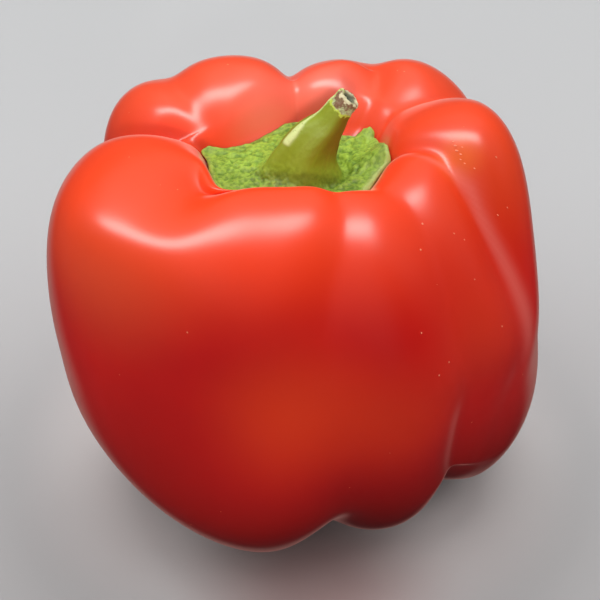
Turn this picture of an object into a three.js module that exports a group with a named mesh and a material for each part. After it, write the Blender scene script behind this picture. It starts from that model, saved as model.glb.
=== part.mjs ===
// A ripe blocky bell pepper, standing on the feet of its lobes.
//
// Lengths are millimetres and +Z is up. Azimuths are degrees seen from above, counterclockwise
// from +X, so 270 is the front. The origin is on the ground under the middle of the pod.

import * as THREE from 'three';

// Lobes of the pod, counterclockwise from the right. Each lobe swells the pod round its azimuth.
// reach: the widest radius. crestHeight, crestRadius: its top round the dimple.
// seatRadius: how wide the dimple's floor is there. lowerReach: the radius low on the side.
// footReach, footHeight: where it comes down. footDrop: how far its underside still falls inwards.
// slump: how far the shoulder hangs below a square one. shoulderIn: how far in it is drawn.
const LOBES = [
  { azimuth: 359.1, reach: 44.6, crestHeight: 82.3, crestRadius: 31.0, seatRadius: 14.2,
    lowerReach: 49.6, footReach: 30.5, footHeight: -0.1, footDrop: 0.9, slump: 0.1, shoulderIn: 1.4 },
  { azimuth: 53.2, reach: 51.0, crestHeight: 83.4, crestRadius: 30.3, seatRadius: 14.2,
    lowerReach: 42.1, footReach: 26.0, footHeight: -0.4, footDrop: 1.0, slump: 0.5, shoulderIn: 1.3 },
  { azimuth: 96.4, reach: 45.8, crestHeight: 79.6, crestRadius: 24.3, seatRadius: 14.2,
    lowerReach: 41.0, footReach: 25.0, footHeight: -0.4, footDrop: 0, slump: -0.4, shoulderIn: 2.1 },
  { azimuth: 107.6, reach: 46.0, crestHeight: 78.6, crestRadius: 23.5, seatRadius: 14.2,
    lowerReach: 41.0, footReach: 25.0, footHeight: -0.4, footDrop: 0, slump: 2.9, shoulderIn: 3.0 },
  { azimuth: 136.0, reach: 51.2, crestHeight: 78.0, crestRadius: 26.3, seatRadius: 14.2,
    lowerReach: 41.1, footReach: 25.0, footHeight: -0.4, footDrop: 0, slump: -2.4, shoulderIn: 2.1 },
  { azimuth: 180.1, reach: 49.1, crestHeight: 76.8, crestRadius: 29.2, seatRadius: 16.2,
    lowerReach: 47.1, footReach: 21.1, footHeight: 1.8, footDrop: 0, slump: -2.7, shoulderIn: 4.1 },
  { azimuth: 208.6, reach: 49.4, crestHeight: 77.8, crestRadius: 20.0, seatRadius: 16.2,
    lowerReach: 44.6, footReach: 25.4, footHeight: 1.1, footDrop: 0, slump: -11.2, shoulderIn: -3.2 },
  { azimuth: 235.4, reach: 43.6, crestHeight: 78.9, crestRadius: 19.9, seatRadius: 14.2,
    lowerReach: 46.2, footReach: 29.0, footHeight: -0.3, footDrop: 0, slump: -9.3, shoulderIn: -1.0 },
  { azimuth: 261.6, reach: 38.6, crestHeight: 77.1, crestRadius: 20.4, seatRadius: 14.2,
    lowerReach: 46.8, footReach: 31.5, footHeight: -0.2, footDrop: 0, slump: 5.4, shoulderIn: 0.3 },
  { azimuth: 291.8, reach: 39.1, crestHeight: 77.5, crestRadius: 18.1, seatRadius: 14.2,
    lowerReach: 37.7, footReach: 31.2, footHeight: 1.9, footDrop: 3.0, slump: 0.8, shoulderIn: 6.2 },
  { azimuth: 309.2, reach: 54.8, crestHeight: 76.0, crestRadius: 24.6, seatRadius: 14.2,
    lowerReach: 46.2, footReach: 42.5, footHeight: 7.8, footDrop: 8.5, slump: 10.4, shoulderIn: 7.3 },
  { azimuth: 322.9, reach: 53.4, crestHeight: 76.7, crestRadius: 27.6, seatRadius: 14.2,
    lowerReach: 48.3, footReach: 46.9, footHeight: 5.9, footDrop: 8.0, slump: 5.6, shoulderIn: 7.8 },
];
const LOBE_SPREAD = 15; // degrees over which one lobe passes into the next

// Grooves between the lobes. path: the azimuth at each of the GROOVE_STATIONS.
// crest, side, foot: the depth there. width: how far it opens. softness: how round its bottom is.
const GROOVES = [
  { path: [35.0, 30.6, 32.5, 31.9, 32.6], crest: 9.8, side: 2, foot: 4.7, width: 16, softness: 2 },
  { path: [51.1, 63.2, 66.9, 66.0, 64.0], crest: 8.4, side: 0, foot: 2.1, width: 12.8, softness: 3.9 },
  { path: [92.3, 94.4, 94.2, 91.8, 93.0], crest: 5.8, side: 2.8, foot: 4, width: 9.5, softness: 2 },
  { path: [152.0, 144.0, 126.0, 125.6, 125.0], crest: 3.6, side: 1, foot: 2, width: 8, softness: 3.5 },
  { path: [161.6, 164.8, 161.2, 153.6, 160.4], crest: 10.3, side: 4.1, foot: 4.1, width: 7.3, softness: 3 },
  { path: [230.0, 221.7, 226.6, 223.7, 230.8], crest: 8.2, side: 0.4, foot: 2.2, width: 14, softness: 11 },
  { path: [288.8, 290.2, 278.9, 285.1, 279.0], crest: 1.8, side: 2.4, foot: 7.2, width: 9.4, softness: 4.9 },
  { path: [314.2, 317.4, 311.0, 314.9, 319.0], crest: 2.2, side: 3, foot: 8.3, width: 13, softness: 6 },
  { path: [314.2, 317.4, 313.5, 317.5, 320.0], crest: 0, side: 4.6, foot: 4.6, width: 5, softness: 2 },
  { path: [352.0, 341.0, 332.0, 330.0, 330.0], crest: 3.8, side: 1.9, foot: 1, width: 5.5, softness: 2.2 },
];
const SIDE_WIDENING = 0.7; // grooves open by this share of their width on the side
const FOOT_TUCK = new THREE.Vector2(-0.78, 0.62); // a groove draws the foot in and up this way

// The pod's section, from the seat under the calyx to the blossom scar beneath.
// A place along it runs from 0 to SECTION_END, one step for each control point.
const SECTION_END = 14;
const GROOVE_STATIONS = [2.5, 4.6, 6.2, 8.5, 11.0]; // dimple wall, crest, shoulder, side, foot
const SEAT_HEIGHT = 66.3;
const WALL_UP = 0.64; // the dimple wall's middle, as a share of the way from the seat to the crest
const CREST_CROWN = 1.6;
const CREST_IN = 5.2;
const CREST_OUT = 5.2;
const SHOULDER_DROP = 9;
const BELLY_SWELL = 0.8;
const BELLY_HEIGHT = 0.62; // shares of the crest's height
const WAIST_HEIGHT = 0.42;
const LOWER_HEIGHT = 0.22;
const BLOSSOM_HEIGHT = 9;

const COLUMNS = 120; // points round the pod, and round the calyx that follows it
const POD_ROWS = [ // rows over each stretch of the section: from, to, how many
  [0, 1.2, 2],
  [1.2, 3, 7],
  [3, 6, 11],
  [6, 10, 9],
  [10, 14, 13],
];

// The calyx lies on the dimple's floor, and its points climb the wall.
const SEAT_GAP = 0.3;
const RIM_THICKNESS = 1.1;
const CALYX_RIM = [ // azimuth, and the place along the pod's section where the calyx ends
  [1.8, 2.75], [9.9, 2.63], [24.8, 2.32], [36, 2.2], [38.4, 2.31], [42, 2.35],
  [45, 2.28], [48, 2.08], [58, 2.0], [72, 2.05], [86, 2.22], [98, 2.28],
  [103.5, 2.26], [110.5, 2.15], [124.4, 2.02], [133.9, 1.99], [148.7, 2.18], [154.5, 2.28],
  [158, 2.44], [163, 2.4], [172, 2.45], [188, 2.5], [204, 2.55], [222, 2.45],
  [240, 2.62], [258, 2.42], [278, 2.6], [298, 2.45], [318, 2.7], [332, 2.55],
  [343, 2.48], [350, 2.54], [355.6, 2.71],
];
const CALYX_FLOOR_PLACE = 2; // climbs count from here
const CALYX_SHELF = { radius: 9.8, height: 69.0, climbShare: 0.8 };
const BUMP_HEIGHT = 0.25;

// The stalk's sections from the calyx up to the cut end. lean turns a section towards +X, and
// fin is the azimuth of the sharpest ridge, which winds round the stalk on its left.
const STALK = [
  { x: 0.85, y: -0.8, z: 69.4, halfWidth: 7.1, halfDepth: 6.5, lean: 9, ridge: 0.06, fin: 200 },
  { x: 0.9, y: -0.75, z: 72.7, halfWidth: 5.5, halfDepth: 5.1, lean: 8, ridge: 0.06, fin: 200 },
  { x: 2.2, y: -0.5, z: 75.7, halfWidth: 4.6, halfDepth: 4.4, lean: 10, ridge: 0.06, fin: 194 },
  { x: 3.75, y: -0.45, z: 77.7, halfWidth: 3.6, halfDepth: 3.7, lean: 19, ridge: 0.06, fin: 180 },
  { x: 5.5, y: -0.35, z: 79.4, halfWidth: 2.6, halfDepth: 2.9, lean: 28, ridge: 0.06, fin: 160 },
  { x: 6.75, y: -0.2, z: 81.4, halfWidth: 2.2, halfDepth: 2.4, lean: 35, ridge: 0.06, fin: 151 },
  { x: 7.8, y: -0.05, z: 83.0, halfWidth: 2.05, halfDepth: 2.4, lean: 39, ridge: 0.07, fin: 146 },
  { x: 8.6, y: 0.0, z: 84.2, halfWidth: 2.05, halfDepth: 2.5, lean: 40, ridge: 0.08, fin: 143 },
];
const RIDGE_COUNT = 5;
const RIDGE_AZIMUTH = 200;
const FIN = { height: 0.14, width: 13 };
const CUT_RIM = 0.72; // the dried cut's hollow starts at this share of the radius
const CUT_DEPTH = 0.9;

const radians = THREE.MathUtils.degToRad;

// Signed difference of two azimuths, from -180 to 180.
function turn(from, to) {
  return THREE.MathUtils.euclideanModulo(to - from + 180, 360) - 180;
}

// A measure of the lobes carried smoothly round the pod.
function lobeMeasure(azimuth, name) {
  let sum = 0;
  let weights = 0;
  for (const lobe of LOBES) {
    const weight = Math.exp(-0.5 * (turn(lobe.azimuth, azimuth) / LOBE_SPREAD) ** 2) + 1e-9;
    sum += weight * lobe[name];
    weights += weight;
  }
  return sum / weights;
}

// Control points [radius, height] of the pod's section at one azimuth.
function sectionControls(azimuth) {
  const reach = lobeMeasure(azimuth, 'reach');
  const crest = lobeMeasure(azimuth, 'crestHeight');
  const crestRadius = lobeMeasure(azimuth, 'crestRadius');
  const lower = lobeMeasure(azimuth, 'lowerReach');
  const foot = lobeMeasure(azimuth, 'footReach');
  const footHeight = lobeMeasure(azimuth, 'footHeight');
  const drop = lobeMeasure(azimuth, 'footDrop');
  const slump = lobeMeasure(azimuth, 'slump');
  const shoulderIn = lobeMeasure(azimuth, 'shoulderIn');
  const seat = lobeMeasure(azimuth, 'seatRadius');
  return [
    [0, SEAT_HEIGHT],
    [0.55 * seat, SEAT_HEIGHT],
    [1.05 * seat, SEAT_HEIGHT + 0.3],
    [seat, SEAT_HEIGHT + WALL_UP * (crest - SEAT_HEIGHT)],
    [crestRadius - CREST_IN, crest + CREST_CROWN],
    [crestRadius + CREST_OUT, crest + CREST_CROWN - 0.5 * slump],
    [reach - shoulderIn, crest - SHOULDER_DROP - slump],
    [reach + BELLY_SWELL, BELLY_HEIGHT * crest],
    [0.45 * reach + 0.55 * lower, WAIST_HEIGHT * crest],
    [lower, LOWER_HEIGHT * crest],
    [0.45 * lower + 0.55 * foot + 2.5, footHeight + 6],
    [foot + 0.5, footHeight - 3],
    [foot - 9, footHeight + 0.5 - drop],
    [0.32 * foot, footHeight + BLOSSOM_HEIGHT - 0.5 * drop],
    [0, BLOSSOM_HEIGHT + 1],
  ];
}

// A uniform cubic B-spline through the section, mirrored where it meets the axis.
function sectionPoint(controls, place) {
  const first = [-controls[1][0], controls[1][1]];
  const last = [-controls[SECTION_END - 1][0], controls[SECTION_END - 1][1]];
  const spans = [first, ...controls, last];
  const span = Math.min(Math.floor(place), SECTION_END - 1);
  const u = place - span;
  const weights = [
    (1 - u) ** 3 / 6,
    (3 * u ** 3 - 6 * u ** 2 + 4) / 6,
    (-3 * u ** 3 + 3 * u ** 2 + 3 * u + 1) / 6,
    u ** 3 / 6,
  ];
  return [0, 1].map((axis) => weights.reduce((sum, w, i) => sum + w * spans[span + i][axis], 0));
}

// A groove's azimuth at a place along the section: a smooth curve through its stations.
function grooveAzimuth(groove, place) {
  const stations = GROOVE_STATIONS;
  const end = stations.length - 1;
  const at = THREE.MathUtils.clamp(place, stations[0], stations[end]);
  let i = 0;
  while (i < end - 1 && at >= stations[i + 1]) {
    i += 1;
  }
  const slope = (k) => (k === 0 || k === end
    ? 0
    : (groove.path[k + 1] - groove.path[k - 1]) / (stations[k + 1] - stations[k - 1]));
  const length = stations[i + 1] - stations[i];
  const u = (at - stations[i]) / length;
  return groove.path[i] * (1 + 2 * u) * (1 - u) ** 2
    + slope(i) * length * u * (1 - u) ** 2
    + groove.path[i + 1] * u ** 2 * (3 - 2 * u)
    + slope(i + 1) * length * u ** 2 * (u - 1);
}

function rise(place, middle, length) {
  return 1 / (1 + Math.exp(-(place - middle) / length));
}

// How far the grooves cut in along the section's normal at a place, and how far they tuck the foot.
function grooveDepths(azimuth, place) {
  const inner = Math.min(place / 2.2, 1) ** 1.5;
  const outer = THREE.MathUtils.clamp((SECTION_END - place) / 2.6, 0, 1) ** 1.2;
  const atCrest = Math.exp(-0.5 * ((place - 4.6) / 1.5) ** 2) * inner;
  const onSide = rise(place, 6.0, 0.55) * rise(-place, -9.6, 0.6);
  const atFoot = rise(place, 9.8, 0.5) * outer;
  const opening = 1 + SIDE_WIDENING * onSide;
  let cut = 0;
  let tuck = 0;
  for (const groove of GROOVES) {
    const away = turn(grooveAzimuth(groove, place), azimuth);
    const soft = groove.softness * opening;
    const falloff = Math.exp(-(Math.hypot(away, soft) - soft) / (groove.width * opening));
    cut += (groove.crest * atCrest + groove.side * onSide) * falloff;
    tuck += groove.foot * atFoot * falloff;
  }
  return { cut, tuck };
}

// A point of the pod's skin, or one lifted off it along the section's normal.
function podPoint(azimuth, place, lift = 0) {
  const controls = sectionControls(azimuth);
  const step = 0.01;
  const [radius, height] = sectionPoint(controls, place);
  const before = sectionPoint(controls, Math.max(place - step, 0));
  const after = sectionPoint(controls, Math.min(place + step, SECTION_END));
  const along = new THREE.Vector2(after[0] - before[0], after[1] - before[1]).normalize();
  const { cut, tuck } = grooveDepths(azimuth, place);
  const r = radius - along.y * (lift - cut) + FOOT_TUCK.x * tuck;
  const z = height + along.x * (lift - cut) + FOOT_TUCK.y * tuck;
  const a = radians(azimuth);
  return new THREE.Vector3(r * Math.cos(a), r * Math.sin(a), z);
}

// A closed surface over rings of points, with a single point at each end. The rings run from
// the first end to the last, and the skin faces out when they run down the outside.
function closedSkin(first, rings, last) {
  const columns = rings[0].length;
  const points = [first, ...rings.flat(), last];
  const index = [];
  const at = (ring, column) => 1 + ring * columns + (column % columns);
  for (let c = 0; c < columns; c += 1) {
    index.push(0, at(0, c), at(0, c + 1));
    for (let r = 0; r + 1 < rings.length; r += 1) {
      index.push(at(r, c), at(r + 1, c), at(r, c + 1));
      index.push(at(r, c + 1), at(r + 1, c), at(r + 1, c + 1));
    }
    index.push(at(rings.length - 1, c), points.length - 1, at(rings.length - 1, c + 1));
  }
  const geometry = new THREE.BufferGeometry().setFromPoints(points);
  geometry.setIndex(index);
  geometry.computeVertexNormals();
  return geometry;
}

const azimuths = Array.from({ length: COLUMNS }, (_, i) => (i * 360) / COLUMNS);

// The pod: the feet that would dip below the ground are pressed flat on it.
function podGeometry() {
  const places = POD_ROWS.flatMap(([from, to, count]) => (
    Array.from({ length: count }, (_, i) => from + ((to - from) * (i + 1)) / count)
  )).slice(0, -1);
  const onGround = (point) => point.setZ(Math.max(point.z, 0));
  const rings = places.map((place) => (
    azimuths.map((azimuth) => onGround(podPoint(azimuth, place)))
  ));
  return closedSkin(podPoint(0, 0), rings, podPoint(0, SECTION_END));
}

// Where the calyx's edge lies along the pod's section: straight from each point to the next.
function rimPlace(azimuth) {
  const last = CALYX_RIM.length - 1;
  const start = CALYX_RIM.findLastIndex(([at]) => at <= azimuth);
  const [from, low] = start < 0 ? [CALYX_RIM[last][0] - 360, CALYX_RIM[last][1]] : CALYX_RIM[start];
  const [to, high] = start === last ? [CALYX_RIM[0][0] + 360, CALYX_RIM[0][1]] : CALYX_RIM[start + 1];
  return low + ((high - low) * (azimuth - from)) / (to - from);
}

// Low lumps over the calyx.
function bump(azimuth, share) {
  const a = radians(azimuth);
  return BUMP_HEIGHT * Math.sin(7 * a + 5 * share) * Math.sin(11 * a - 3 * share);
}

// The raised shelf of the calyx between its edge and the foot of the stalk.
function shelfPoint(azimuth) {
  const a = radians(azimuth);
  const climb = rimPlace(azimuth) - CALYX_FLOOR_PLACE;
  const { radius, height, climbShare } = CALYX_SHELF;
  return new THREE.Vector3(
    radius * Math.cos(a),
    radius * Math.sin(a),
    height + climbShare * climb + bump(azimuth, 0.6),
  );
}

// A point of the stalk's section, drawn in towards its middle by the share given and sunk along
// the stalk's axis.
function stalkPoint(section, azimuth, share = 1, sink = 0) {
  const a = radians(azimuth);
  const lean = radians(section.lean);
  const fin = FIN.height * Math.exp(-0.5 * (turn(section.fin, azimuth) / FIN.width) ** 2);
  const ridges = section.ridge * Math.cos(RIDGE_COUNT * radians(azimuth - RIDGE_AZIMUTH));
  const size = share * (1 + ridges + fin);
  const across = section.halfWidth * size * Math.cos(a);
  const deep = section.halfDepth * size * Math.sin(a);
  return new THREE.Vector3(
    section.x + across * Math.cos(lean) - sink * Math.sin(lean),
    section.y + deep,
    section.z - across * Math.sin(lean) - sink * Math.cos(lean),
  );
}

// One column of the calyx and stalk, from the seat, round the edge and up to the cut.
function greenColumn(azimuth) {
  const rim = rimPlace(azimuth);
  const top = STALK[STALK.length - 1];
  const under = [0.4, 0.75, 0.96].map((share) => podPoint(azimuth, share * rim, SEAT_GAP));
  const edge = [0.25, 0.75].map((share) => (
    podPoint(azimuth, rim, SEAT_GAP + share * RIM_THICKNESS)
  ));
  const upper = podPoint(azimuth, 0.95 * rim, SEAT_GAP + 1.1 * RIM_THICKNESS);
  const flank = [upper, shelfPoint(azimuth), ...STALK.map((s) => stalkPoint(s, azimuth))];
  const hollow = [
    stalkPoint(top, azimuth, 0.94, -0.2),
    stalkPoint(top, azimuth, CUT_RIM, 0.05),
    stalkPoint(top, azimuth, 0.6 * CUT_RIM, 0.8 * CUT_DEPTH),
  ];
  return [...under, ...edge, ...flank, ...hollow];
}

function greenGeometry() {
  const columns = azimuths.map((azimuth) => greenColumn(azimuth));
  const rings = columns[0].map((_, ring) => columns.map((column) => column[ring])).reverse();
  const top = STALK[STALK.length - 1];
  return closedSkin(stalkPoint(top, 0, 0, CUT_DEPTH), rings, podPoint(0, 0, SEAT_GAP));
}

const skinRed = new THREE.MeshStandardMaterial({ color: 0xd8281a, roughness: 0.22, metalness: 0 });
const leafGreen = new THREE.MeshStandardMaterial({ color: 0x7f9c34, roughness: 0.7, metalness: 0 });

const pod = new THREE.Mesh(podGeometry(), skinRed);
pod.name = 'pod';

const calyxAndStalk = new THREE.Mesh(greenGeometry(), leafGreen);
calyxAndStalk.name = 'calyx_and_stalk';

const pepper = new THREE.Group();
pepper.add(pod, calyxAndStalk);

// The pod grows round the stalk's axis, and the part stands round its own middle.
const middle = new THREE.Box3().setFromObject(pepper).getCenter(new THREE.Vector3());
pepper.position.set(-middle.x, -middle.y, 0);

export default pepper;
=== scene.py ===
"""A ripe red bell pepper, standing on the feet of its lobes.

Lengths are millimetres and become metres when a mesh is made. Azimuths are degrees seen from
above, counterclockwise from +X, so 270 is the front. Both pieces follow one formula: the pod's
section changes smoothly from lobe to lobe, and grooves are cut into it between them.
"""

from __future__ import annotations

import logging
import math
from dataclasses import dataclass, replace
from enum import Enum

import bpy
import numpy as np
from mathutils import Matrix, Vector, noise

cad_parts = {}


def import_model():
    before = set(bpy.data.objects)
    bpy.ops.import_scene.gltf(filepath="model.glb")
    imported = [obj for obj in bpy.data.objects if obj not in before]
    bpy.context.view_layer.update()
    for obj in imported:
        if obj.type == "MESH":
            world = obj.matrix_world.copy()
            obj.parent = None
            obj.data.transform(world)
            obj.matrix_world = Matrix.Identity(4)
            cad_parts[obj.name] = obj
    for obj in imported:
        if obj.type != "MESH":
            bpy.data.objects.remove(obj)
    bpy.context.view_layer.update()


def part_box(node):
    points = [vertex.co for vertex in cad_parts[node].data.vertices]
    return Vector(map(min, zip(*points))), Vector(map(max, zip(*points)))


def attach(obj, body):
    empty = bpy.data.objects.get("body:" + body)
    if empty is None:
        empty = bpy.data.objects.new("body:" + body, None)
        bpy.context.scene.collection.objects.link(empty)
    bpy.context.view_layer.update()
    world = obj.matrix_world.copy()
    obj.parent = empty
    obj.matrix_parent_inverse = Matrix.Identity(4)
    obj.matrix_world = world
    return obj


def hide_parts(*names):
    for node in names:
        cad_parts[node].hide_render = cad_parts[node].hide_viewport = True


LOG = logging.getLogger("bell_pepper")
MILLIMETRE = 0.001

Colour = tuple[float, float, float]


class Slot(Enum):
    """The record's material slots."""

    SKIN = "red_skin"
    GREEN = "green_stalk"


def turn(start: float | np.ndarray, end: np.ndarray) -> np.ndarray:
    """Signed difference of azimuths, from -180 to 180."""
    return (end - start + 180.0) % 360.0 - 180.0


def rise(place: np.ndarray, middle: float, length: float) -> np.ndarray:
    """A smooth step from 0 to 1 round a middle."""
    return 1.0 / (1.0 + np.exp(-(place - middle) / length))


def hill(away: np.ndarray, width: float) -> np.ndarray:
    """A smooth hill of height 1."""
    return np.exp(-0.5 * (away / width) ** 2)


def towards(side: tuple[float, float], azimuth: np.ndarray) -> np.ndarray:
    """A smooth hill over the azimuths on one side, given by its middle and its width."""
    return hill(turn(side[0], azimuth), side[1])


def between(
    knots: np.ndarray, slope: np.ndarray, i: np.ndarray, u: np.ndarray, length: np.ndarray
) -> np.ndarray:
    """Points on a smooth curve through knots.

    Args:
        knots: The values at the knots.
        slope: The curve's slope at each knot.
        i: The knot before each point.
        u: How far each point is on the way to the next knot, from 0 to 1.
        length: The distance between those two knots.

    Returns:
        The values at the points.
    """
    return (
        knots[i] * (1 + 2 * u) * (1 - u) ** 2
        + slope[i] * length * u * (1 - u) ** 2
        + knots[i + 1] * u**2 * (3 - 2 * u)
        + slope[i + 1] * length * u**2 * (u - 1)
    )


@dataclass(frozen=True)
class Lobe:
    """One lobe of the pod.

    reach is the widest radius, crest_height and crest_radius give its top round the dimple and
    seat_radius how wide the dimple's floor is there. lower_reach is the radius low on the side,
    foot_reach and foot_height are where it comes down, and foot_drop how far its underside still
    falls inwards. slump is how far the shoulder hangs below a square one, and shoulder_in how
    far it is drawn in.
    """

    azimuth: float
    reach: float
    crest_height: float
    crest_radius: float
    seat_radius: float
    lower_reach: float
    foot_reach: float
    foot_height: float
    foot_drop: float
    slump: float
    shoulder_in: float


@dataclass(frozen=True)
class Groove:
    """One groove between lobes.

    path is its azimuth at each station, crest, side and foot its depth there, width how far it
    opens and softness how round its bottom is.
    """

    path: tuple[float, float, float, float, float]
    crest: float
    side: float
    foot: float
    width: float
    softness: float


LOBES = (
    Lobe(359.1, 44.6, 82.3, 31.0, 14.2, 49.6, 30.5, -0.1, 0.9, 0.1, 1.4),
    Lobe(53.2, 51.0, 83.4, 30.3, 14.2, 42.1, 26.0, -0.4, 1.0, 0.5, 1.3),
    Lobe(96.4, 45.8, 79.6, 24.3, 14.2, 41.0, 25.0, -0.4, 0.0, -0.4, 2.1),
    Lobe(107.6, 46.0, 78.6, 23.5, 14.2, 41.0, 25.0, -0.4, 0.0, 2.9, 3.0),
    Lobe(136.0, 51.2, 78.0, 26.3, 14.2, 41.1, 25.0, -0.4, 0.0, -2.4, 2.1),
    Lobe(180.1, 49.1, 76.8, 29.2, 16.2, 47.1, 21.1, 1.8, 0.0, -2.7, 4.1),
    Lobe(208.6, 49.4, 77.8, 20.0, 16.2, 44.6, 25.4, 1.1, 0.0, -11.2, -3.2),
    Lobe(235.4, 43.6, 78.9, 19.9, 14.2, 46.2, 29.0, -0.3, 0.0, -9.3, -1.0),
    Lobe(261.6, 38.6, 77.1, 20.4, 14.2, 46.8, 31.5, -0.2, 0.0, 5.4, 0.3),
    Lobe(291.8, 39.1, 77.5, 18.1, 14.2, 37.7, 31.2, 1.9, 3.0, 0.8, 6.2),
    Lobe(309.2, 54.8, 76.0, 24.6, 14.2, 46.2, 42.5, 7.8, 8.5, 10.4, 7.3),
    Lobe(322.9, 53.4, 76.7, 27.6, 14.2, 48.3, 46.9, 5.9, 8.0, 5.6, 7.8),
)

GROOVES = (
    Groove((35.0, 30.6, 32.5, 31.9, 32.6), 9.8, 2.0, 4.7, 16.0, 2.0),
    Groove((51.1, 63.2, 66.9, 66.0, 64.0), 8.4, 0.0, 2.1, 12.8, 3.9),
    Groove((92.3, 94.4, 94.2, 91.8, 93.0), 5.8, 2.8, 4.0, 9.5, 2.0),
    Groove((152.0, 144.0, 126.0, 125.6, 125.0), 3.6, 1.0, 2.0, 8.0, 3.5),
    Groove((161.6, 164.8, 161.2, 153.6, 160.4), 10.3, 4.1, 4.1, 7.3, 3.0),
    Groove((230.0, 221.7, 226.6, 223.7, 230.8), 8.2, 0.4, 2.2, 14.0, 11.0),
    Groove((288.8, 290.2, 278.9, 285.1, 279.0), 1.8, 2.4, 7.2, 9.4, 4.9),
    Groove((314.2, 317.4, 311.0, 314.9, 319.0), 2.2, 3.0, 8.3, 13.0, 6.0),
    Groove((314.2, 317.4, 313.5, 317.5, 320.0), 0.0, 4.6, 4.6, 5.0, 2.0),
    Groove((352.0, 341.0, 332.0, 330.0, 330.0), 3.8, 1.9, 1.0, 5.5, 2.2),
)


def ring_mesh(name: str, first: np.ndarray, rings: np.ndarray, last: np.ndarray) -> bpy.types.Mesh:
    """A closed smooth mesh over rings of points, with a single point at each end.

    Args:
        name: The mesh's name.
        first: The point before the first ring.
        rings: Points by ring, column and coordinate, in millimetres. The skin faces out when
            the rings run down the outside.
        last: The point after the last ring.

    Returns:
        The mesh, in metres.
    """
    count, columns = rings.shape[:2]
    points = np.concatenate([first[None], rings.reshape(-1, 3), last[None]]) * MILLIMETRE
    here = np.arange(columns)
    after = (here + 1) % columns
    ring = np.arange(count - 1)[:, None] * columns + 1
    quads = np.stack([ring + here, ring + columns + here, ring + columns + after, ring + after], -1)
    foot = 1 + (count - 1) * columns
    end = np.full(columns, len(points) - 1)
    caps = [
        np.stack([np.zeros(columns, int), 1 + here, 1 + after], -1),
        np.stack([foot + here, end, foot + after], -1),
    ]
    faces = quads.reshape(-1, 4).tolist() + np.concatenate(caps).tolist()
    mesh = bpy.data.meshes.new(name)
    mesh.from_pydata(points.tolist(), [], faces)
    mesh.shade_smooth()
    return mesh


def store(mesh: bpy.types.Mesh, name: str, values: np.ndarray) -> None:
    """Stores a number or a vector for each point of a mesh, as an attribute.

    Args:
        mesh: The mesh.
        name: The attribute's name.
        values: Numbers in the order of the mesh's points, or vectors in rows.
    """
    kind, field = ("FLOAT_VECTOR", "vector") if values.ndim > 1 else ("FLOAT", "value")
    attribute = mesh.attributes.new(name, kind, "POINT")
    attribute.data.foreach_set(field, values.ravel().astype(np.float32))


def new_object(name: str, data: bpy.types.ID) -> bpy.types.Object:
    """Makes an object in the scene.

    Args:
        name: The object's name.
        data: Its mesh, light or camera.

    Returns:
        The object.
    """
    item = bpy.data.objects.new(name, data)
    bpy.context.scene.collection.objects.link(item)
    return item


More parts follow.
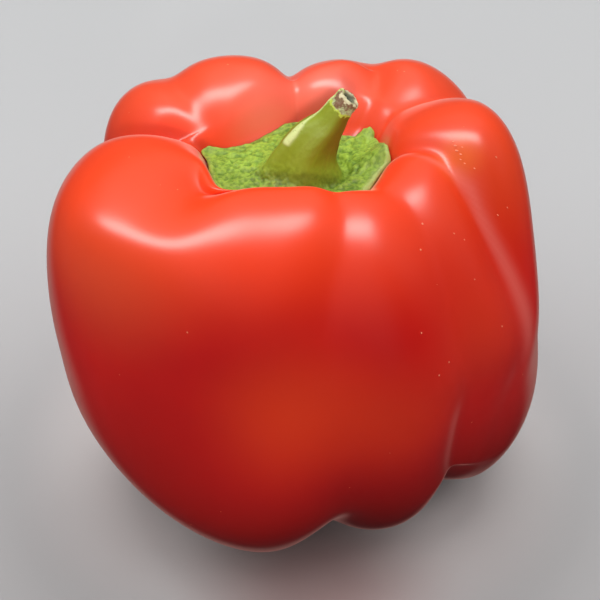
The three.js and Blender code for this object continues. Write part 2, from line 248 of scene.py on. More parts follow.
@dataclass(frozen=True)
class PodForm:
    """The pod's skin as a formula of azimuth and place.

    A place runs along the section from 0, the middle of the seat under the calyx, to END, the
    blossom scar beneath, one step for each control point. The grooves rise from the seat and fade
    to the scar by a length and a power. groove_crest is the middle and the spread of their part
    over the crest, and the other three are where a part starts or ends and how softly.
    """

    END = 14
    STATIONS = (2.5, 4.6, 6.2, 8.5, 11.0)

    lobe_spread: float = 15.0
    seat_height: float = 66.3
    wall_up: float = 0.64
    crest_crown: float = 1.6
    crest_in: float = 5.2
    crest_out: float = 5.2
    shoulder_drop: float = 9.0
    belly_swell: float = 0.8
    belly_height: float = 0.62
    waist_height: float = 0.42
    lower_height: float = 0.22
    blossom_height: float = 9.0
    side_widening: float = 0.7
    foot_tuck: tuple[float, float] = (-0.78, 0.62)
    seat_fade: tuple[float, float] = (2.2, 1.5)
    scar_fade: tuple[float, float] = (2.6, 1.2)
    groove_crest: tuple[float, float] = (4.6, 1.5)
    side_start: tuple[float, float] = (6.0, 0.55)
    side_end: tuple[float, float] = (9.6, 0.6)
    foot_start: tuple[float, float] = (9.8, 0.5)

    def measure(self, azimuth: np.ndarray, name: str) -> np.ndarray:
        """One measure of the lobes, carried smoothly round the pod.

        Args:
            azimuth: Azimuths in one row.
            name: The lobe's field that holds the measure.

        Returns:
            The measure at each azimuth.
        """
        total = np.zeros_like(azimuth)
        weights = np.zeros_like(azimuth)
        for lobe in LOBES:
            weight = hill(turn(lobe.azimuth, azimuth), self.lobe_spread) + 1e-9
            total += weight * getattr(lobe, name)
            weights += weight
        return total / weights

    def controls(self, azimuth: np.ndarray) -> np.ndarray:
        """Control points of the section at each azimuth.

        Args:
            azimuth: Azimuths in one row.

        Returns:
            Radius and height by control point and azimuth, with the mirrored points that carry
            the section over the axis at both ends.
        """
        reach = self.measure(azimuth, "reach")
        crest = self.measure(azimuth, "crest_height")
        crest_radius = self.measure(azimuth, "crest_radius")
        lower = self.measure(azimuth, "lower_reach")
        foot = self.measure(azimuth, "foot_reach")
        foot_height = self.measure(azimuth, "foot_height")
        drop = self.measure(azimuth, "foot_drop")
        slump = self.measure(azimuth, "slump")
        shoulder_in = self.measure(azimuth, "shoulder_in")
        seat_radius = self.measure(azimuth, "seat_radius")
        seat = self.seat_height
        points = [
            (0.0, seat),
            (0.55 * seat_radius, seat),
            (1.05 * seat_radius, seat + 0.3),
            (seat_radius, seat + self.wall_up * (crest - seat)),
            (crest_radius - self.crest_in, crest + self.crest_crown),
            (crest_radius + self.crest_out, crest + self.crest_crown - 0.5 * slump),
            (reach - shoulder_in, crest - self.shoulder_drop - slump),
            (reach + self.belly_swell, self.belly_height * crest),
            (0.45 * reach + 0.55 * lower, self.waist_height * crest),
            (lower, self.lower_height * crest),
            (0.45 * lower + 0.55 * foot + 2.5, foot_height + 6.0),
            (foot + 0.5, foot_height - 3.0),
            (foot - 9.0, foot_height + 0.5 - drop),
            (0.32 * foot, foot_height + self.blossom_height - 0.5 * drop),
            (0.0, self.blossom_height + 1.0),
        ]
        rows = [np.stack(np.broadcast_arrays(r, z, azimuth)[:2], -1) for r, z in points]
        mirror = np.array([-1.0, 1.0])
        return np.stack([rows[1] * mirror, *rows, rows[-2] * mirror])

    def section(self, controls: np.ndarray, place: np.ndarray) -> np.ndarray:
        """Points on the section, the uniform cubic B-spline that the controls shape.

        Args:
            controls: Radius and height by control point and azimuth.
            place: A place along the section for each azimuth.

        Returns:
            Radius and height at each azimuth.
        """
        span = np.clip(np.floor(place).astype(int), 0, self.END - 1)
        u = (place - span)[:, None]
        weights = (
            (1 - u) ** 3 / 6,
            (3 * u**3 - 6 * u**2 + 4) / 6,
            (-3 * u**3 + 3 * u**2 + 3 * u + 1) / 6,
            u**3 / 6,
        )
        column = np.arange(len(place))
        return sum(weight * controls[span + i, column] for i, weight in enumerate(weights))

    def groove_azimuth(self, groove: Groove, place: np.ndarray) -> np.ndarray:
        """A groove's way down the pod, a smooth curve through its stations.

        Args:
            groove: The groove.
            place: Places along the section.

        Returns:
            The groove's azimuth at each place.
        """
        stations = np.array(self.STATIONS)
        path = np.array(groove.path)
        slope = np.zeros(len(path))
        slope[1:-1] = (path[2:] - path[:-2]) / (stations[2:] - stations[:-2])
        at = np.clip(place, stations[0], stations[-1])
        i = np.clip(np.searchsorted(stations, at, side="right") - 1, 0, len(path) - 2)
        length = stations[i + 1] - stations[i]
        return between(path, slope, i, (at - stations[i]) / length, length)

    def groove_depths(self, azimuth: np.ndarray, place: np.ndarray) -> tuple[np.ndarray, np.ndarray]:
        """How deep the grooves are.

        Args:
            azimuth: Azimuths in one row.
            place: A place along the section for each of them.

        Returns:
            How far they cut in along the section's normal, and how far they tuck the foot.
        """
        inner = np.clip(place / self.seat_fade[0], 0, 1) ** self.seat_fade[1]
        outer = np.clip((self.END - place) / self.scar_fade[0], 0, 1) ** self.scar_fade[1]
        at_crest = hill(place - self.groove_crest[0], self.groove_crest[1]) * inner
        on_side = rise(place, *self.side_start) * rise(-place, -self.side_end[0], self.side_end[1])
        at_foot = rise(place, *self.foot_start) * outer
        opening = 1 + self.side_widening * on_side
        cut = np.zeros_like(place)
        tuck = np.zeros_like(place)
        for groove in GROOVES:
            away = turn(self.groove_azimuth(groove, place), azimuth)
            soft = groove.softness * opening
            falloff = np.exp(-(np.hypot(away, soft) - soft) / (groove.width * opening))
            cut += (groove.crest * at_crest + groove.side * on_side) * falloff
            tuck += groove.foot * at_foot * falloff
        return cut, tuck

    def skin(
        self, azimuth: np.ndarray, place: np.ndarray, lift: float | np.ndarray = 0.0
    ) -> np.ndarray:
        """Points of the skin, or points lifted off it along the section's normal.

        Args:
            azimuth: Azimuths, of any shape.
            place: Places along the section, of the same shape.
            lift: How far each point stands off the skin.

        Returns:
            Points, with the coordinates along a last axis.
        """
        shape = np.broadcast_shapes(azimuth.shape, place.shape)
        azimuth = np.broadcast_to(azimuth, shape).ravel().astype(float)
        place = np.broadcast_to(place, shape).ravel().astype(float)
        lift = np.broadcast_to(lift, shape).ravel()
        controls = self.controls(azimuth)
        step = 0.01
        point = self.section(controls, place)
        along = self.section(controls, np.minimum(place + step, self.END))
        along = along - self.section(controls, np.maximum(place - step, 0.0))
        along /= np.linalg.norm(along, axis=-1, keepdims=True)
        cut, tuck = self.groove_depths(azimuth, place)
        radius = point[:, 0] - along[:, 1] * (lift - cut) + self.foot_tuck[0] * tuck
        height = point[:, 1] + along[:, 0] * (lift - cut) + self.foot_tuck[1] * tuck
        a = np.radians(azimuth)
        return np.stack([radius * np.cos(a), radius * np.sin(a), height], -1).reshape(*shape, 3)


class Graph:
    """A node tree with short calls to add nodes and join them."""

    def __init__(self, tree: bpy.types.NodeTree) -> None:
        self.tree = tree

    def add(self, kind: str, inputs: dict[str, object] | None = None, **settings: object) -> bpy.types.Node:
        """Adds a node.

        Args:
            kind: The node's type, as Blender names it.
            inputs: Values or output sockets for its inputs, by name or by number.
            settings: Properties of the node itself.

        Returns:
            The node.
        """
        node = self.tree.nodes.new(kind)
        for name, value in settings.items():
            setattr(node, name, value)
        self.feed(node, inputs or {})
        return node

    def feed(self, node: bpy.types.Node, inputs: dict[str, object]) -> None:
        """Gives a node's inputs their values, or joins output sockets to them.

        Args:
            node: The node.
            inputs: Values or output sockets, by the input's name or number.
        """
        for name, value in inputs.items():
            socket = node.inputs[int(name)] if name.isdigit() else node.inputs[name]
            if isinstance(value, bpy.types.NodeSocket):
                self.tree.links.new(value, socket)
            else:
                socket.default_value = value

    def math(self, operation: str, *values: object) -> bpy.types.NodeSocket:
        """The result of a Math node on numbers or sockets."""
        inputs = {str(i): value for i, value in enumerate(values)}
        return self.add("ShaderNodeMath", inputs, operation=operation).outputs[0]

    def mix(self, share: object, first: object, second: object) -> bpy.types.NodeSocket:
        """Two colours mixed by a share from 0 to 1."""
        inputs = {"0": share, "6": first, "7": second}
        return self.add("ShaderNodeMix", inputs, data_type="RGBA").outputs[2]

    def step(self, value: object, low: object, high: object) -> bpy.types.NodeSocket:
        """A smooth step of a value: 0 at low and 1 at high."""
        inputs = {"Value": value, "From Min": low, "From Max": high}
        return self.add("ShaderNodeMapRange", inputs, interpolation_type="SMOOTHSTEP").outputs[0]

    def ramp(self, length: object, ends: tuple[float, float]) -> bpy.types.NodeSocket:
        """A smooth step of a length in metres: 0 at the first end and 1 at the second."""
        return self.step(length, ends[0] * MILLIMETRE, ends[1] * MILLIMETRE)

    def nearness(self, here: object, point: Vector, ends: tuple[float, float]) -> bpy.types.NodeSocket:
        """How near a place is to a point: 0 from the first distance on and 1 within the second."""
        away = self.add("ShaderNodeVectorMath", {"0": here, "1": point}, operation="DISTANCE")
        return self.ramp(away.outputs["Value"], ends)


def rgba(colour: Colour) -> tuple[float, float, float, float]:
    """A colour with full alpha."""
    return (*colour, 1.0)


def new_material(name: str) -> tuple[bpy.types.Material, Graph, bpy.types.Node]:
    """Starts a material.

    Args:
        name: The material's name.

    Returns:
        The material, its graph and its shader.
    """
    material = bpy.data.materials.new(name)
    material.use_nodes = True
    return material, Graph(material.node_tree), material.node_tree.nodes["Principled BSDF"]


class SurfaceEffects:
    """Shader node groups that more than one finish uses."""

    relief_depth: float = 0.2

    def __init__(self) -> None:
        self.mottle = self._mottle()
        self.relief = self._relief()

    @staticmethod
    def _group(
        name: str, inputs: dict[str, float], output: str
    ) -> tuple[Graph, bpy.types.NodeOutputs]:
        """Starts a node group that puts out one number.

        Args:
            name: The group's name.
            inputs: Its number inputs by name, with their first values.
            output: The name of its output.

        Returns:
            The group's graph, and the sockets that hold its inputs.
        """
        tree = bpy.data.node_groups.new(name, "ShaderNodeTree")
        for label, value in inputs.items():
            socket = tree.interface.new_socket(label, in_out="INPUT", socket_type="NodeSocketFloat")
            socket.default_value = value
        tree.interface.new_socket(output, in_out="OUTPUT", socket_type="NodeSocketFloat")
        graph = Graph(tree)
        return graph, graph.add("NodeGroupInput").outputs

    def _mottle(self) -> bpy.types.NodeTree:
        """Builds the group of soft patches.

        Returns:
            The group. Its mask comes and goes between 0 and 1 over the surface.
        """
        inputs = {"Size": 10.0, "Coverage": 0.5, "Softness": 0.1, "Phase": 0.0}
        graph, given = self._group("Mottle", inputs, "Mask")
        place = graph.add("ShaderNodeTexCoord").outputs["Object"]
        scale = graph.math("DIVIDE", 1.0 / MILLIMETRE, given["Size"])
        cloud = graph.add(
            "ShaderNodeTexNoise",
            {"Vector": place, "W": given["Phase"], "Scale": scale, "Detail": 3.0},
            noise_dimensions="4D",
        )
        middle = graph.math("SUBTRACT", 1.0, given["Coverage"])
        half = graph.math("MULTIPLY", given["Softness"], 0.5)
        low = graph.math("SUBTRACT", middle, half)
        mask = graph.step(cloud.outputs["Fac"], low, graph.math("ADD", middle, half))
        graph.add("NodeGroupOutput", {"Mask": mask})
        return graph.tree

    def _relief(self) -> bpy.types.NodeTree:
        """Builds the group of a grown surface's fine unevenness.

        Returns:
            The group. Its height is that of rounded cells with finer grain.
        """
        inputs = {"Cell Size": 1.0, "Grain Size": 0.2, "Grain Share": 0.3}
        graph, given = self._group("Relief", inputs, "Height")
        place = graph.add("ShaderNodeTexCoord").outputs["Object"]
        cell_scale = graph.math("DIVIDE", 1.0 / MILLIMETRE, given["Cell Size"])
        grain_scale = graph.math("DIVIDE", 1.0 / MILLIMETRE, given["Grain Size"])
        cells = graph.add(
            "ShaderNodeTexVoronoi", {"Vector": place, "Scale": cell_scale}, feature="SMOOTH_F1"
        )
        grain = graph.add("ShaderNodeTexNoise", {"Vector": place, "Scale": grain_scale})
        dome = graph.math("SUBTRACT", 1.0, cells.outputs["Distance"])
        fine = graph.math("MULTIPLY", grain.outputs["Fac"], given["Grain Share"])
        graph.add("NodeGroupOutput", {"Height": graph.math("ADD", dome, fine)})
        return graph.tree

    def patches(
        self, graph: Graph, size: float, softness: float, coverage: float = 0.5, phase: float = 0.0
    ) -> bpy.types.NodeSocket:
        """Soft patches in a material, with their size in millimetres."""
        values = {"Size": size, "Coverage": coverage, "Softness": softness, "Phase": phase}
        return self._place(graph, self.mottle, values)

    def bumps(self, graph: Graph, strength: float, **values: float) -> bpy.types.NodeSocket:
        """A material's normal, made uneven by the relief.

        Args:
            graph: The material's graph.
            strength: How strongly the relief turns the normal.
            values: The relief's inputs, with underscores for spaces.

        Returns:
            The normal.
        """
        named = {label.replace("_", " "): value for label, value in values.items()}
        height = self._place(graph, self.relief, named)
        inputs = {"Height": height, "Strength": strength, "Distance": self.relief_depth * MILLIMETRE}
        return graph.add("ShaderNodeBump", inputs).outputs["Normal"]

    @staticmethod
    def _place(graph: Graph, tree: bpy.types.NodeTree, values: dict[str, float]) -> bpy.types.NodeSocket:
        """Puts a group into a material.

        Args:
            graph: The material's graph.
            tree: The group.
            values: The values of its inputs in this material, by name.

        Returns:
            The group's output.
        """
        node = graph.add("ShaderNodeGroup", node_tree=tree)
        graph.feed(node, values)
        return node.outputs[0]


@dataclass(frozen=True)
class Blush:
    """A place on the pod, in its growing frame, where the red gives way to another colour: a blush
    of the skin, a spot of painted light or a spot of painted shade.
    """

    azimuth: float
    place: float
    radius: float
    strength: float
    # The skin's orange blush; low at the front it is also painted light bounced up from the floor.
    colour: Colour = (0.98, 0.055, 0.008)


# Painted sheen and painted light: pale pink on the dimple's back wall.
PAINTED_SHEEN_PINK = (0.99, 0.20, 0.14)
LIT = (0.95, 0.085, 0.026)
AMBER = (0.98, 0.15, 0.015)
# Painted shade: a dark red that darkens the lower left of the pod.
PAINTED_SHADE_RED = (0.40, 0.004, 0.004)

# Orange blushes of the skin, the two low at the front partly painted light bounced up from the floor; then
# painted light on the left and right flanks, an amber spot, painted sheen and light on the dimple's back
# wall, and painted shade low on the left.
BLUSHES_AND_PAINTED_LIGHT = (
    Blush(267, 7.3, 20, 0.75),
    Blush(292, 7.5, 20, 0.5),
    Blush(207, 6.1, 13, 0.5),
    Blush(218, 6.3, 24, 0.8, LIT),
    Blush(321, 6.2, 18, 0.35, LIT),
    Blush(345, 4.5, 6, 0.75, AMBER),
    Blush(117, 2.78, 11, 0.8, PAINTED_SHEEN_PINK),
    Blush(84, 2.9, 9, 0.85, PAINTED_SHEEN_PINK),
    Blush(65, 3.1, 8, 0.5, PAINTED_SHEEN_PINK),
    Blush(234, 8.3, 26, 0.6, PAINTED_SHADE_RED),
)

# Azimuth, place and half width in degrees of the pale streak of painted reflection down the right groove.
PAINTED_REFLECTION_STREAK = (
    (343, 3.5, 1.0), (341, 4.0, 1.6), (341.2, 4.63, 1.7), (339.5, 5.1, 1.7), (337, 5.4, 1.6),
    (335.5, 5.7, 1.6), (334.5, 6.0, 1.8), (334, 6.35, 2.1), (334, 6.8, 2.4), (334, 7.4, 2.6),
)


@dataclass(frozen=True)
class RedSkin:
    """The pod's waxy red skin, with painted light and shade in its colour.

    Heights and depths are where a tint starts and where it is full, in millimetres. The roughness
    stays above 0.274 everywhere, because the denoiser draws a line where a surface crosses it.
    """

    deep: Colour = (0.66, 0.006, 0.006)
    bright: Colour = (0.76, 0.010, 0.006)
    sunlit: Colour = (0.93, 0.062, 0.012)
    sunlit_height: tuple[float, float] = (54.0, 80.0)
    # Painted sheen and light: a paler, bluer red high up at the back.
    washed: Colour = (0.90, 0.085, 0.032)
    washed_depth: tuple[float, float] = (-18.0, 22.0)
    washed_height: tuple[float, float] = (52.0, 76.0)
    shaded: Colour = (0.11, 0.002, 0.003)
    shaded_height: tuple[float, float] = (39.0, 3.0)
    # Painted reflection: the pale streak down the right groove.
    streak: Colour = (0.98, 0.22, 0.18)
    streak_share: float = 0.45
    # Painted reflection: paler red where the skin turns away from view.
    rim: Colour = (0.97, 0.42, 0.36)
    rim_facing: tuple[float, float] = (0.70, 0.99)
    rim_share: float = 0.75
    roughness: float = 0.292
    roughness_spread: float = 0.03
    sheen_of_wax: float = 0.32

    def build(self, effects: SurfaceEffects, blushes_and_painted_light: list[tuple[Vector, Blush]]) -> bpy.types.Material:
        """Makes the material.

        Args:
            effects: The shared node groups.
            blushes_and_painted_light: The blushes and the spots of painted light and shade, each with its
                point in metres.

        Returns:
            The material.
        """
        material, graph, shader = new_material("red_skin")
        patches = effects.patches(graph, size=22.0, softness=0.6)
        colour = graph.mix(patches, rgba(self.deep), rgba(self.bright))
        here = graph.add("ShaderNodeTexCoord").outputs["Object"]
        split = graph.add("ShaderNodeSeparateXYZ", {"Vector": here})
        height = split.outputs["Z"]
        colour = graph.mix(graph.ramp(height, self.sunlit_height), colour, rgba(self.sunlit))
        # Painted sheen and light, high up at the back.
        behind = graph.ramp(split.outputs["Y"], self.washed_depth)
        high_up = graph.ramp(height, self.washed_height)
        colour = graph.mix(graph.math("MULTIPLY", behind, high_up), colour, rgba(self.washed))
        colour = graph.mix(graph.ramp(height, self.shaded_height), colour, rgba(self.shaded))
        # Blushes of the skin, and spots of painted light, sheen and shade.
        for point, tint_spot in blushes_and_painted_light:
            near = graph.nearness(here, point, (tint_spot.radius, 0.0))
            share = graph.math("MULTIPLY", near, tint_spot.strength)
            colour = graph.mix(share, colour, rgba(tint_spot.colour))
        # Painted reflection: the pale streak down the right groove.
        pale = graph.add("ShaderNodeAttribute", attribute_name="streak").outputs["Fac"]
        colour = graph.mix(graph.math("MULTIPLY", pale, self.streak_share), colour, rgba(self.streak))
        # Painted reflection: paler red where the skin turns away from view.
        facing = graph.add("ShaderNodeLayerWeight", {"Blend": 0.5}).outputs["Facing"]
        edge = graph.math("MULTIPLY", graph.step(facing, *self.rim_facing), self.rim_share)
        colour = graph.mix(edge, colour, rgba(self.rim))
        shine = effects.patches(graph, size=9.0, softness=0.8, phase=3.0)
        least = self.roughness - 0.5 * self.roughness_spread
        finish = {
            "Base Color": colour,
            "Roughness": graph.math("MULTIPLY_ADD", shine, self.roughness_spread, least),
            "Specular IOR Level": self.sheen_of_wax,
            "Normal": effects.bumps(
                graph, strength=0.05, Cell_Size=2.6, Grain_Size=0.5, Grain_Share=0.15
            ),
        }
        graph.feed(shader, finish)
        return material


@dataclass(frozen=True)
class GreenSkin:
    """The calyx and stalk: lumpy yellow-green with painted light and shade on the lumps, olive up the
    stalk with painted shade down one side, dried in bands at its tip and painted shade in its cut.

    Each band has the distances from the cut where it starts and where it is full, in millimetres,
    and raggedness is how far its edge strays.
    """

    # The mottle's dark and light greens; where they follow the lumps, partly painted shade in the hollows
    # and painted light on the lumps.
    valley: Colour = (0.10, 0.20, 0.014)
    lump: Colour = (0.38, 0.56, 0.06)
    olive: Colour = (0.25, 0.31, 0.015)
    # Painted shade: the darker colour down the stalk's shaded side.
    brown_side: Colour = (0.20, 0.125, 0.008)
    pale: Colour = (0.62, 0.70, 0.27)
    lip: Colour = (0.46, 0.56, 0.18)
    line: Colour = (0.50, 0.60, 0.07)
    band: Colour = (0.46, 0.53, 0.26)
    bark: Colour = (0.22, 0.115, 0.06)
    cream: Colour = (0.68, 0.62, 0.38)
    # Painted shade: the dark inside of the cut's hollow.
    hollow: Colour = (0.10, 0.11, 0.06)
    line_ends: tuple[float, float] = (2.8, 2.5)
    band_ends: tuple[float, float] = (2.3, 1.9)
    bark_ends: tuple[float, float] = (1.0, 0.6)
    cream_ends: tuple[float, float] = (0.3, 0.05)
    raggedness: float = 1.3
    roughness: float = 0.58
    sheen: float = 0.22

    def build(self, effects: SurfaceEffects) -> bpy.types.Material:
        """Makes the material, which reads the masks that the mesh carries.

        Args:
            effects: The shared node groups.

        Returns:
            The material.
        """
        material, graph, shader = new_material("green_stalk")
        masks = {
            name: graph.add("ShaderNodeAttribute", attribute_name=name).outputs["Fac"]
            for name in ("lump", "stalk", "painted_shade", "strip", "lip", "worn", "tip", "hollow")
        }
        grain = graph.add("ShaderNodeAttribute", attribute_name="grain").outputs["Vector"]
        broad = effects.patches(graph, size=1.5, softness=0.5)
        fine = effects.patches(graph, size=0.6, softness=0.5, phase=1.0)
        share = graph.math("MULTIPLY_ADD", broad, 0.3, graph.math("MULTIPLY", fine, 0.45))
        # Partly the lumps' height: painted light on the lumps and painted shade between them.
        share = graph.math("MULTIPLY_ADD", masks["lump"], 0.35, share)
        colour = graph.mix(graph.step(share, 0.05, 1.0), rgba(self.valley), rgba(self.lump))
        # Real grain streaks, added to the painted shade down the stalk's darker side.
        streaks = graph.add("ShaderNodeTexNoise", {"Vector": grain, "Scale": 1.6, "Detail": 5.0})
        painted_shade = graph.math("MULTIPLY_ADD", streaks.outputs["Fac"], 0.5, masks["painted_shade"])
        stalk = graph.mix(graph.step(painted_shade, 0.25, 1.2), rgba(self.olive), rgba(self.brown_side))
        colour = graph.mix(masks["stalk"], colour, stalk)
        colour = graph.mix(masks["lip"], colour, rgba(self.lip))
        colour = self._dried(graph, effects, masks, colour)
        finish = {
            "Base Color": colour,
            "Roughness": self.roughness,
            "Specular IOR Level": self.sheen,
            "Normal": effects.bumps(
                graph, strength=0.3, Cell_Size=0.7, Grain_Size=0.2, Grain_Share=0.4
            ),
        }
        graph.feed(shader, finish)
        return material

    def _dried(
        self,
        graph: Graph,
        effects: SurfaceEffects,
        masks: dict[str, bpy.types.NodeSocket],
        colour: bpy.types.NodeSocket,
    ) -> bpy.types.NodeSocket:
        """Lays the dried bands, the pale strip and the hollow's painted shade over the green.

        Args:
            graph: The material's graph.
            effects: The shared node groups.
            masks: The masks that the mesh carries, by name.
            colour: The green.

        Returns:
            The finished colour.
        """
        ragged = effects.patches(graph, size=1.0, softness=0.8, phase=5.0)
        least = graph.math("SUBTRACT", masks["tip"], 0.5 * self.raggedness)
        down = graph.math("MULTIPLY_ADD", ragged, self.raggedness, least)
        colour = graph.mix(graph.step(down, *self.line_ends), colour, rgba(self.line))
        speckled = effects.patches(graph, size=0.5, softness=0.3, coverage=0.45, phase=2.0)
        band = graph.mix(speckled, rgba(self.band), rgba(self.bark))
        colour = graph.mix(graph.step(down, *self.band_ends), colour, band)
        dots = effects.patches(graph, size=0.6, softness=0.2, coverage=0.35, phase=2.5)
        strip = graph.mix(dots, rgba(self.pale), rgba(self.olive))
        bark_down = graph.math("SUBTRACT", down, masks["worn"])
        worn = effects.patches(graph, size=0.5, softness=0.3, coverage=0.6, phase=8.0)
        bark = graph.math("MULTIPLY", graph.step(bark_down, *self.bark_ends), worn)
        colour = graph.mix(bark, colour, rgba(self.bark))
        colour = graph.mix(graph.step(down, *self.cream_ends), colour, rgba(self.cream))
        colour = graph.mix(masks["strip"], colour, strip)
        # Painted shade inside the cut's hollow.
        return graph.mix(masks["hollow"], colour, rgba(self.hollow))


@dataclass
class Pod:
    """The red pod."""

    form: PodForm
    columns: int = 360
    rows: int = 240

    def build(self) -> bpy.types.Mesh:
        """Builds the skin, pressed flat where the feet meet the ground.

        Returns:
            The pod's mesh in its growing frame.
        """
        azimuth = np.arange(self.columns) * 360.0 / self.columns
        place = np.linspace(0.0, self.form.END, self.rows + 2)[1:-1]
        points = self.form.skin(azimuth[None, :], place[:, None])
        points[..., 2] = np.maximum(points[..., 2], 0.0)
        ends = self.form.skin(np.zeros(2), np.array([0.0, self.form.END]))
        mesh = ring_mesh("pod_skin", ends[0], points, ends[1])
        store(mesh, "streak", np.pad(self._streak(azimuth, place).ravel(), 1))
        return mesh

    @staticmethod
    def _streak(azimuth: np.ndarray, place: np.ndarray) -> np.ndarray:
        """The pale streak of painted reflection down the right groove.

        Args:
            azimuth: The columns' azimuths.
            place: The rows' places along the section.

        Returns:
            Its mask by row and column.
        """
        middle, at, wide = np.array(PAINTED_REFLECTION_STREAK).T
        beside = turn(np.interp(place, at, middle)[:, None], azimuth) / np.interp(place, at, wide)[:, None]
        fade = rise(place, at[0], 0.25) * rise(-place, -at[-1], 0.15)
        return hill(beside, 0.7) * fade[:, None]


@dataclass(frozen=True)
class StalkSection:
    """One section of the stalk.

    lean turns it towards +X, ridge is how strongly it is ribbed, and fin the azimuth of its
    sharpest rib.
    """

    x: float
    y: float
    z: float
    half_width: float
    half_depth: float
    lean: float
    ridge: float
    fin: float


# Azimuth, and the place along the pod's section where the calyx ends.
CALYX_RIM = (
    (1.8, 2.75), (9.9, 2.63), (24.8, 2.32), (36, 2.2), (38.4, 2.31), (42, 2.35),
    (45, 2.28), (48, 2.08), (58, 2.0), (72, 2.05), (86, 2.22), (98, 2.28),
    (103.5, 2.26), (110.5, 2.15), (124.4, 2.02), (133.9, 1.99), (148.7, 2.18), (154.5, 2.28),
    (158, 2.44), (163, 2.4), (172, 2.45), (188, 2.5), (204, 2.55), (222, 2.45),
    (240, 2.62), (258, 2.42), (278, 2.6), (298, 2.45), (318, 2.7), (332, 2.55),
    (343, 2.48), (350, 2.54), (355.6, 2.71),
)

STALK_SECTIONS = (
    StalkSection(0.85, -0.8, 69.4, 7.1, 6.5, 9, 0.06, 200),
    StalkSection(0.9, -0.75, 72.7, 5.5, 5.1, 8, 0.06, 205),
    StalkSection(2.2, -0.5, 75.7, 4.6, 4.4, 10, 0.06, 207),
    StalkSection(3.75, -0.45, 77.7, 3.6, 3.7, 19, 0.06, 195),
    StalkSection(5.5, -0.35, 79.4, 2.6, 2.9, 28, 0.06, 172),
    StalkSection(6.75, -0.2, 81.4, 2.2, 2.3, 35, 0.05, 162),
    StalkSection(7.8, -0.05, 82.8, 2.05, 2.05, 39, 0.04, 160),
    StalkSection(8.6, 0.0, 83.8, 2.0, 1.9, 40, 0.03, 165),
)

# Knot along the stalk, azimuth and half width of the pale strip that runs up it.
STRIP = (
    (3.9, 208.5, 0.75), (4.5, 203.5, 0.78), (5, 195, 0.7), (5.25, 188.5, 0.65),
    (5.5, 178, 0.5), (6, 168, 0.4), (7, 160, 0.35), (8, 160, 0.3), (9, 165, 0.3),
)


def smooth_path(knots: np.ndarray, steps: int) -> tuple[np.ndarray, np.ndarray]:
    """Points on smooth curves through knots.

    Args:
        knots: Points by knot and column.
        steps: How many points to take from one knot to the next.

    Returns:
        The points by step and column, and the knot number of each step as a fraction.
    """
    gaps = np.linalg.norm(np.diff(knots, axis=0), axis=-1).mean(-1)
    at = np.concatenate([[0.0], np.cumsum(gaps)])
    slope = np.zeros_like(knots)
    slope[1:-1] = (knots[2:] - knots[:-2]) / (at[2:] - at[:-2])[:, None, None]
    slope[0] = (knots[1] - knots[0]) / gaps[0]
    slope[-1] = (knots[-1] - knots[-2]) / gaps[-1]
    number = np.arange((len(knots) - 1) * steps + 1) / steps
    i = np.minimum(number.astype(int), len(knots) - 2)
    points = between(knots, slope, i, (number - i)[:, None, None], gaps[i][:, None, None])
    return points, number


